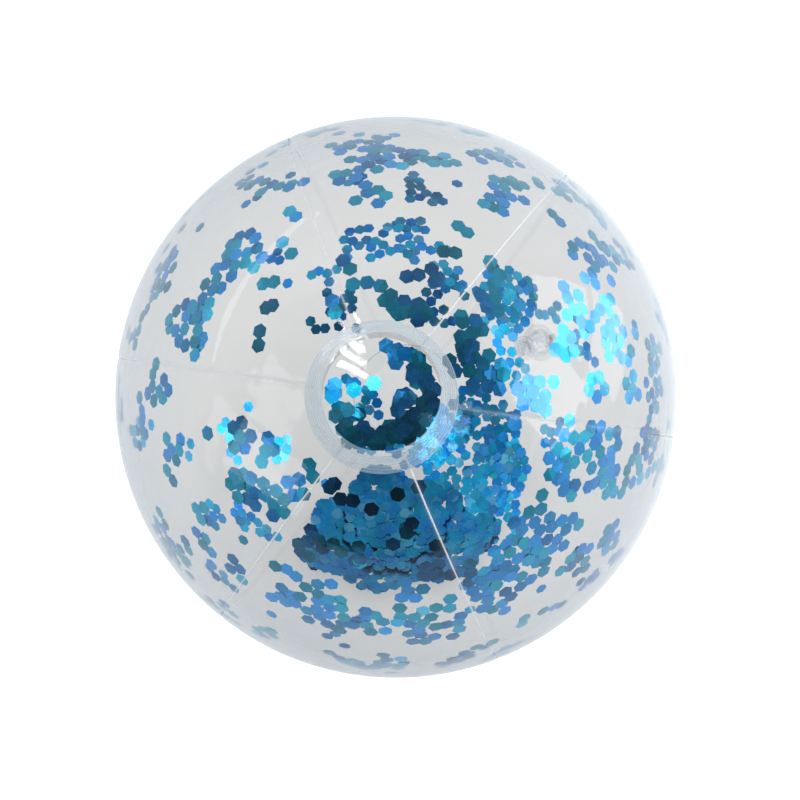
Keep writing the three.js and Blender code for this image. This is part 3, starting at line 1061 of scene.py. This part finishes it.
# Each row is one drift: off, turn, count, long and wide, then slant and dark where they aren't 0.
# Dark is painted shade, standing in for the dim room that near-wall flakes mirror; below 0 the flake shows its
# bright side.
NEAR_DRIFTS = (
    # Above the front cap
    (50, 91, 26, 5, 3.5), (45, 102, 5, 2.5, 1.5), (39, 95, 8, 3, 2), (56, 102, 6, 2.5, 3),
    (51, 80, 9, 4.5, 2), (57, 68, 8, 2.5, 3.5), (50, 60, 14, 3, 4), (44, 59, 5, 2, 2),
    (58, 55, 2, 1, 1), (52, 48, 3, 2, 1.5), (20, 97, 4, 2, 1.5), (16, 75, 13, 3.2, 2, 0, 1.0),
    (24, 104, 3, 1, 1.8, 0, 1.0), (18, 117, 3, 1, 2), (39, 117, 3, 1, 3),
    (22, 66, 3, 1.5, 3, 0, 1.3), (29, 65, 2, 1, 1, 0, 1.3), (35, 65, 2, 1, 1),
    (22, 77, 2, 1, 1, 0, 1.3), (31, 45, 4, 3, 2), (40, 32, 1, 1, 1),
    # Upper left
    (39, 134, 16, 3.2, 4), (40, 148, 18, 5.2, 2.6), (42, 160, 20, 3.6, 4.4), (48, 176, 12, 3, 4),
    (54, 118, 9, 4, 6), (58, 149, 10, 4, 6), (30, 133, 3, 1.5, 1.5), (26, 141, 2, 1, 1, 0, 1.3),
    (24, 155, 3, 2, 1, 0, 1.3), (38, 166, 3, 1.5, 1),
    # Right of the cap
    (19, 38, 8, 2.2, 1.8), (17, 16, 22, 4.2, 2.6, -50), (25, 41, 6, 2, 2), (43, 24, 12, 3, 4.5),
    (51, 34, 14, 5, 4), (58, 33, 12, 5, 5), (49, 15, 20, 5.2, 5), (52, 4, 7, 3.7, 2),
    (41, 2, 7, 2, 3), (35, 16, 9, 2, 2), (28, 2, 14, 2.6, 4), (30, 30, 3, 4, 2),
    # Left of the cap
    (26, 194, 8, 2.8, 1.6, 40, 1.2), (22, 203, 5, 3, 1, 60), (35, 191, 1, 1, 1),
    (45, 193, 8, 2.2, 3), (48, 200, 3, 1, 1), (54, 185, 5, 3, 1), (44, 212, 5, 2, 1.5),
    (49, 218, 5, 2, 1.5), (57, 214, 12, 4, 8), (29, 218, 22, 4.6, 2.6, -30, 1.0),
    (20, 226, 8, 1.6, 3, 0, 0.7),
    # Below the cap
    (17, 241, 3, 1, 1, 0, 1.4), (19, 251, 3, 1, 1, 0, 1.4), (28, 245, 8, 3.8, 1.7, 0, 1.3),
    (32, 242, 4, 2, 1, 0, 1.3), (29, 261, 4, 1, 1.5, 0, 1.5), (20, 265, 1, 1, 1, 0, 1.5),
    (17, 276, 1, 1, 1, 0, 1.5), (27, 274, 1, 1, 1, 0, 1.5), (24, 281, 2, 1, 1, 0, 1.5),
    (29, 289, 2, 1, 1, 0, 1.5), (34, 288, 6, 3, 1.6, 0, 1.5), (37, 296, 4, 1.8, 1.6, 0, 1.3),
    (48, 230, 5, 3, 3), (46, 241, 6, 3, 3), (38, 240, 4, 2, 1), (46, 253, 22, 6.5, 3),
    (39, 253, 8, 3, 2), (45, 267, 12, 3.4, 4), (44, 281, 34, 4.7, 8), (62, 260, 7, 8, 3),
    (60, 290, 4, 5, 3),
    # Lower right
    (49, 298, 8, 3.6, 3.5), (42, 308, 34, 4.7, 5), (41, 299, 14, 3, 3), (40, 322, 26, 5, 6),
    (52, 317, 10, 3, 6), (55, 326, 8, 4.5, 4), (41, 336, 7, 2.5, 4), (38, 344, 24, 4.7, 4.5),
    (45, 350, 8, 2, 4.5), (51, 343, 26, 4, 7),
    # Under the front cap
    (7, 248, 11, 2.2, 1, 0, 0.8), (6.8, 285, 12, 2, 1, 0, 1.2), (7.4, 318, 12, 2.2, 1.2, 0, 1.4),
    (8, 345, 9, 2, 0.8, 0, 1.3), (8.4, 14, 6, 2, 0.7), (3.5, 330, 5, 1.5, 0.8),
    (8.5, 84, 2, 1.5, 1), (8.6, 55, 5, 1.4, 0.6, 0, -1), (7.4, 204, 7, 1.6, 1.4, 0, -1),
    (8.2, 178, 5, 1.4, 0.6, 0, -1), (5, 166, 2, 1, 0.5, 0, -1), (2.6, 100, 1, 1, 1, 0, -1),
    (5.4, 305, 7, 1.6, 0.8, 0, 1.4), (7.6, 30, 6, 1.4, 1, 0, 0.6), (8.6, 232, 6, 1.6, 0.7),
    (4.6, 215, 4, 1.2, 0.8), (6.4, 68, 3, 0.8, 0.8, 0, -1), (4.4, 5, 3, 1, 0.7, 0, -1),
)

FAR_DRIFTS = (
    (42, 102, 24, 7, 4), (41, 83, 24, 6, 6), (56, 86, 16, 5.5, 5), (62, 101, 4, 2, 3),
    (37, 123, 8, 4.5, 4), (29, 127, 12, 5, 4), (29, 142, 4, 1.5, 2), (34, 66, 12, 5, 2.6),
    (26, 68, 20, 4, 5.5), (36, 43, 54, 6, 6.5), (29, 20, 18, 6, 2.6), (44, 20, 22, 10, 8),
    (52, 132, 4, 2, 2), (48, 196, 9, 5, 2.4), (34, 200, 9, 5, 2.6), (61, 213, 8, 4, 4),
    (54, 221, 17, 5, 5), (21, 314, 70, 9, 9), (23, 342, 24, 4.5, 6), (31, 333, 20, 6, 6),
    (42, 345, 14, 4, 6), (12, 262, 34, 9, 4), (13, 311, 34, 7, 5), (31, 318, 60, 7, 6),
    (40, 304, 60, 6, 8), (9, 200, 8, 4, 4), (13, 327, 24, 4, 5), (17, 350, 20, 4, 4),
    (38, 26, 18, 4, 4),
)


@dataclass
class Confetti:
    """The flakes: drifts that cling to the film, stray ones, and the loose bed with its heap."""

    ball: Ball
    seed: int = 11
    cling_gap: float = 0.75 * MM
    ground_gap: float = 0.5 * MM
    layer: float = 0.13 * MM
    overlap: float = 0.85
    most_under: int = 5
    strays: int = 80
    cling_flipped: float = 0.06
    valve_gap: float = 0.3 * MM
    # Near-wall flakes within this many degrees of the front pole get at least this much painted shade, standing in
    # for the dim room that they mirror.
    front_reach: float = 36.0
    front_painted_shade: float = 0.7
    drift_spread: float = 1.35
    drift_room: float = 0.82
    drift_share: float = 0.78
    room_fade: float = 0.985
    lone_share: float = 0.12
    side_drifts: int = 34
    near_side: tuple[float, float] = (60, 75)
    far_side: tuple[float, float] = (72, 84)
    bed_outer: float = 137.5 * MM
    bed_spread: tuple[float, float] = (27.0, 19.0)
    bed_count: int = 900
    bed_depth: float = 1.1 * MM
    heap_outer: float = 135.0 * MM
    heap_spread: tuple[float, float] = (15.0, 11.0)
    heap_count: int = 190
    heap_depth: float = 1.3 * MM
    loose_tilt: float = 0.022
    loose_flipped: float = 0.03
    loose_contrast: float = 0.25
    # Painted shade on every flake of the loose bed and heap, which darkens the pile at the ball's foot.
    loose_painted_shade: float = 1.0

    def build(self) -> None:
        """Builds the three confetti pieces."""
        rng = np.random.default_rng(self.seed)
        clinging = self.clinging(rng).skin(rng, 1.0)
        flake_nodes = [node for node in frame["nodes"] if node.startswith("flake_")]
        self.add("clinging_confetti", clinging, "ball", flake_nodes)
        bed = self.loose(rng, self.bed_outer, self.bed_spread, self.bed_count, self.bed_depth)
        self.add("bed_confetti", bed, "bed", ["confetti_bed"])
        heap = self.loose(rng, self.heap_outer, self.heap_spread, self.heap_count, self.heap_depth)
        self.add("heap_confetti", heap, "heap", ["confetti_heap"])

    def add(self, name: str, skin: Skin, body: str, nodes: list[str]) -> None:
        """Makes one piece of many flakes.

        Args:
            name: The piece's name.
            skin: The flakes' skin.
            body: The body it rides on.
            nodes: The CAD nodes it stands for.
        """
        piece = skin.built(name, Finish.FOIL, smooth=False)
        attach(piece, body)
        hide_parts(*nodes)
        log.info("%s: %d faces", name, len(skin.faces))

    def clinging(self, rng: np.random.Generator) -> Flakes:
        """The flakes on the film.

        Args:
            rng: The source of places.

        Returns:
            The flakes, each laid over those already under it.
        """
        towards: list[np.ndarray] = []
        painted_shades: list[float] = []
        drifts = [Drift(Wall.NEAR, *row) for row in NEAR_DRIFTS]
        drifts += [Drift(Wall.FAR, *row) for row in FAR_DRIFTS]
        for drift in drifts + self.at_the_sides(rng):
            towards += self.grown(drift, rng)
            # Painted shade: the drift's own, else the front pole's, for near-wall flakes that mirror the dim room.
            front = drift.wall is Wall.NEAR and drift.off < self.front_reach
            dark = drift.dark or (self.front_painted_shade if front else 0.0)
            painted_shades += [dark] * (len(towards) - len(painted_shades))
        for _ in range(self.strays):
            towards.append(unit(rng.normal(size=3)))
            painted_shades.append(0.0)
        free = [self.clear_of_valve(way) for way in towards]
        towards = [way for way, kept in zip(towards, free) if kept]
        painted_shades = [dark for dark, kept in zip(painted_shades, free) if kept]
        flakes = Flakes()
        placed = np.zeros((len(towards), 3))
        for index, way in enumerate(towards):
            apart = np.linalg.norm(placed[:index] - way, axis=1) * self.ball.radius
            under = min(int((apart < self.overlap * FLAKE).sum()), self.most_under)
            placed[index] = way
            radius = self.ball.radius - self.cling_gap
            if way[2] < -0.9:
                radius = min(radius, (self.ball.floor + self.ground_gap) / way[2])
            tilt = abs(rng.normal(0, 0.02 + 0.012 * under))
            flipped = painted_shades[index] < 0 or rng.random() < self.cling_flipped
            place, curl = way * (radius - under * self.layer), rng.uniform(-0.1, 0.22) * MM
            flakes.each.append(Flake(place, tilt, curl, flipped, painted_shades[index]))
        return flakes

    def clear_of_valve(self, way: np.ndarray) -> bool:
        """Whether a flake lies beside the valve's flange, which leaves no room between it and the film.

        Args:
            way: The flake's direction from the ball's centre.

        Returns:
            True where the flake has room.
        """
        valve = Valve(self.ball)
        away = np.linalg.norm(way - np.array(valve.out)) * self.ball.radius
        return away > valve.rim + self.valve_gap + Flakes.corner

    def at_the_sides(self, rng: np.random.Generator) -> list[Drift]:
        """Small drifts round the ball's sides, where the film is seen edge on.

        Args:
            rng: The source of places.

        Returns:
            The drifts.
        """
        drifts = []
        for number in range(self.side_drifts):
            wall = Wall.FAR if number % 3 == 0 else Wall.NEAR
            off = rng.uniform(*(self.far_side if wall is Wall.FAR else self.near_side))
            turn = (number + rng.uniform(-0.5, 0.5)) * 360 / self.side_drifts
            drifts.append(Drift(wall, off, turn, int(rng.integers(6, 15)), 4, 6))
        return drifts

    def grown(self, drift: Drift, rng: np.random.Generator) -> list[np.ndarray]:
        """Grows a drift: most flakes land against one that is there, as static gathers them.

        Args:
            drift: The drift.
            rng: The source of places.

        Returns:
            The direction of each flake from the ball's centre.
        """
        off = drift.off if drift.wall is Wall.NEAR else 180 - drift.off
        polar, turn = math.radians(off), math.radians(drift.turn)
        out = np.array(on_ball(1.0, polar, turn))
        down = np.array(on_ball(1.0, polar + math.pi / 2, turn))
        aside = np.cross(out, down)
        slant = math.radians(drift.slant)
        spots = [rng.normal(0, 0.4, 2) * np.radians([drift.long, drift.wide])]
        limit = np.radians([drift.long, drift.wide]) * self.drift_spread
        pitch = FLAKE / self.ball.radius
        count = max(round(drift.count * self.drift_share), 1)
        tries = 0
        while len(spots) < count:
            tries += 1
            room = self.drift_room * self.room_fade ** tries
            if rng.random() < self.lone_share:
                spot = rng.normal(0, 0.45, 2) * limit
            else:
                angle = rng.uniform(0, 2 * math.pi)
                beside = max(len(spots) - 1 - int(rng.exponential(4)), 0)
                reach = pitch * rng.uniform(0.8, 1.1)
                spot = spots[beside] + reach * np.array([math.cos(angle), math.sin(angle)])
            inside = np.linalg.norm(spot / limit) < 1
            if inside and min(np.linalg.norm(spot - other) for other in spots) > room * pitch:
                spots.append(spot)
                tries = 0
        carry = np.array(self.ball.lying.to_3x3())
        ways = []
        for u, v in spots:
            x = u * math.cos(slant) - v * math.sin(slant)
            y = u * math.sin(slant) + v * math.cos(slant)
            ways.append(carry @ unit(out + math.tan(x) * aside + math.tan(y) * down))
        return ways

    def loose(
        self,
        rng: np.random.Generator,
        outer: float,
        spread: tuple[float, float],
        count: int,
        depth: float,
    ) -> Skin:
        """Loose flakes in a lens round the lowest point.

        Args:
            rng: The source of places.
            outer: The lens's outer radius.
            spread: Its half-angles along X and Y, in degrees.
            count: How many flakes.
            depth: Its depth in the middle.

        Returns:
            The flakes' skin.
        """
        flakes = Flakes()
        edge = np.random.default_rng(self.seed + count).uniform(0, 2 * math.pi, 4)
        while len(flakes.each) < count:
            share = math.sqrt(rng.random())
            turn = rng.uniform(0, 2 * math.pi)
            waves = 0.08 * math.sin(3 * turn + edge[0]), 0.08 * math.sin(7 * turn + edge[1])
            if share > 0.84 + waves[0] + waves[1]:
                continue
            x = math.tan(math.radians(spread[0]) * share * math.cos(turn))
            y = math.tan(math.radians(spread[1]) * share * math.sin(turn))
            thick = depth * (1 - 0.75 * share ** 2)
            radius = outer - rng.random() * thick
            tilt = abs(rng.normal(0, self.loose_tilt))
            flipped = rng.random() < self.loose_flipped
            place = unit(np.array([x, y, -1.0])) * radius
            curl = rng.uniform(-0.15, 0.3) * MM
            flakes.each.append(Flake(place, tilt, curl, flipped, self.loose_painted_shade))
        return flakes.skin(rng, self.loose_contrast)


def unit(vector: np.ndarray) -> np.ndarray:
    """A vector of length 1 the same way."""
    return vector / np.linalg.norm(vector)


# ---- The studio -------------------------------------------------------------------------------


@dataclass(frozen=True)
class Panel:
    """A soft light panel, which the camera doesn't see, facing the ball unless it is told a way."""

    name: str
    place: tuple[float, float, float]
    size: tuple[float, float]
    radiance: float
    faces: tuple[float, float, float] | None = None
    upright: tuple[float, float, float] = (0.0, 0.0, 1.0)

    def hang(self) -> None:
        """Makes the light."""
        data = bpy.data.lights.new(self.name, "AREA")
        data.shape = "RECTANGLE"
        data.size, data.size_y = self.size
        data.energy = math.pi * self.size[0] * self.size[1] * self.radiance
        back = (-Vector(self.faces) if self.faces else Vector(self.place)).normalized()
        aside = Vector(self.upright).cross(back).normalized()
        light = bpy.data.objects.new(self.name, data)
        light.location = self.place
        light.rotation_euler = Matrix((aside, back.cross(aside), back)).transposed().to_euler()
        light.visible_camera = False
        bpy.context.scene.collection.objects.link(light)


INWARDS = (-1.0, 0.0, 0.0)
WINDOW = 1.5

PANELS = (
    Panel("pane_left", (WINDOW, -0.52, 0.82), (0.76, 1.0), 8.0, INWARDS),
    Panel("pane_right_low", (WINDOW, 0.34, 0.19), (0.74, 0.44), 5.5, INWARDS),
    Panel("pane_right_high", (WINDOW, 0.34, 0.89), (0.74, 0.78), 6.0, INWARDS),
    *(
        Panel(
            f"slat_{step + 1}",
            (-0.37, -0.27 - 0.11 * step, 1.31 - 0.045 * step),
            (0.28, 0.06),
            28.0,
        )
        for step in range(4)
    ),
    Panel("small_fill", (0.45, -0.95, 0.92), (0.3, 0.2), 5.0),
    Panel("left_fill", (-1.1, -0.96, 0.3), (0.75, 0.5), 3.6),
    Panel("left_tube", (-1.1, 0.46, 0.82), (0.07, 1.5), 5.0, upright=(0.55, 0.66, 0.34)),
)


@dataclass
class Studio:
    """Floor, soft lights and camera."""

    ball: Ball
    elevation: float = math.radians(53.2)
    distance: float = 5.17
    lens: float = 64.1
    shift: tuple[float, float] = (0.005, -0.00375)
    floor_half: float = 1.1
    floor_gap: float = 0.05 * MM
    room: Colour = (1.12, 1.14, 1.16)
    dark_room: Colour = (0.05, 0.05, 0.055)
    dark_way: tuple[float, float, float] = (0.0, -0.86, 0.51)
    dark_from: float = 0.15
    dark_full: float = 0.75
    backdrop: Colour = WHITE

    def build(self) -> None:
        """Builds everything that isn't the ball."""
        self.floor()
        self.sky()
        self.camera()
        self.lights()

    def floor(self) -> None:
        """Lays the pale floor under the ball's foot."""
        half = self.floor_half
        across, along = np.array([-half, half, half, -half]), np.array([-half, -half, half, half])
        corners = np.stack([across, along, np.full(4, self.ball.floor - self.floor_gap)], axis=1)
        piece = Skin(corners, np.array([[0, 1, 2, 3]])).built("floor", Finish.FLOOR, smooth=False)

    def sky(self) -> None:
        """Sets the room: pale all round, dark behind the viewer, and plain white where it is seen."""
        world = bpy.data.worlds.new("studio")
        bpy.context.scene.world = world
        graph = Graph(world)
        way = graph.node("ShaderNodeTexCoord", output="Generated")
        dot, ways = {"operation": "DOT_PRODUCT"}, {0: way, 1: self.dark_way}
        ahead = graph.node("ShaderNodeVectorMath", dot, ways, "Value")
        dark = ahead.step(self.dark_from, self.dark_full)
        colour = graph.blend(dark, rgba(self.room), rgba(self.dark_room))
        room = graph.node("ShaderNodeBackground", {}, {"Color": colour})
        backdrop = graph.node("ShaderNodeBackground", {}, {"Color": rgba(self.backdrop)})
        seen = graph.node("ShaderNodeLightPath", output="Is Camera Ray")
        graph.finish(graph.mixed(seen, room, backdrop))

    @property
    def towards(self) -> Vector:
        """The way from the ball's centre to the camera."""
        return Vector((0.0, -math.cos(self.elevation), math.sin(self.elevation)))

    def camera(self) -> None:
        """Sets the camera, which looks down at the front cap."""
        data = bpy.data.cameras.new("camera")
        data.lens = self.lens
        data.shift_x, data.shift_y = self.shift
        camera = bpy.data.objects.new("camera", data)
        camera.location = self.towards * self.distance * self.ball.radius
        camera.rotation_euler = (-self.towards).to_track_quat("-Z", "Y").to_euler()
        bpy.context.scene.collection.objects.link(camera)
        bpy.context.scene.camera = camera

    def lights(self) -> None:
        """Hangs a window of three panes at the right, a tube at the left and slats by the viewer."""
        for panel in PANELS:
            panel.hang()


# ---- Making it --------------------------------------------------------------------------------


def main() -> None:
    """Builds the ball and its studio, in order."""
    logging.basicConfig(level=logging.INFO, format="%(message)s")
    bpy.context.scene.view_settings.view_transform = "Standard"
    ball = Ball()
    Shell(ball).build()
    Valve(ball).build()
    Confetti(ball).build()
    Studio(ball).build()


if __name__ == "__main__":
    main()
